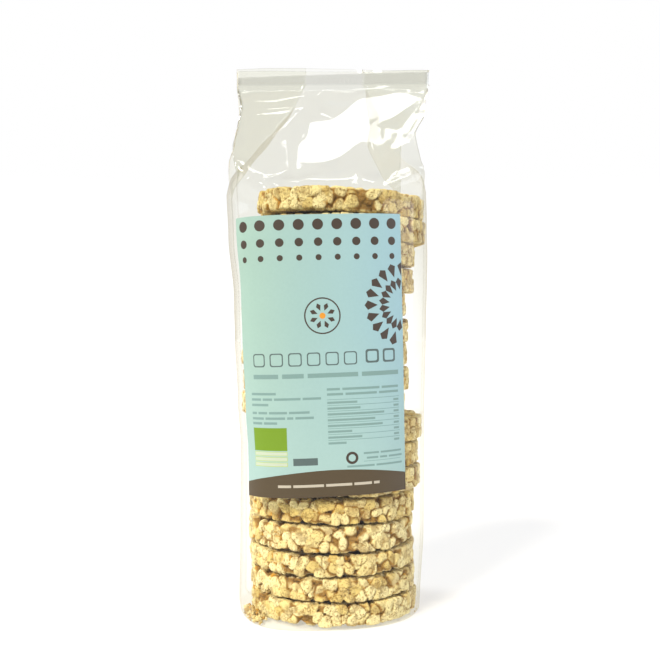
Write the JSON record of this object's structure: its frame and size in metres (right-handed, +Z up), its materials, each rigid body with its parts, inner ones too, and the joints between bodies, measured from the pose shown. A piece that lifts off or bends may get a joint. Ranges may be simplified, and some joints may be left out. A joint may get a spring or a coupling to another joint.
{
  "type": "bag of puffed wheat cakes",
  "caption": "Clear side-gusseted film bag, sealed along the top, holding a stack of round puffed wheat cakes, with a paper label wrapped round its front.",
  "frame": {"origin": "centre of the bag's flat base", "axes": "+Z up along the stack, -Y towards the label, +X to the right of it"},
  "size_m": [0.1089, 0.0935, 0.2898],
  "materials": {
    "film": "clear glossy plastic film over the cream colour of the cakes behind it",
    "label": "satin printed paper",
    "cake": "matte, cream puffed grain with golden brown bran"
  },
  "bodies": {
    "root": {"bag": "film", "label": "label"}
  },
  "joints": []
}
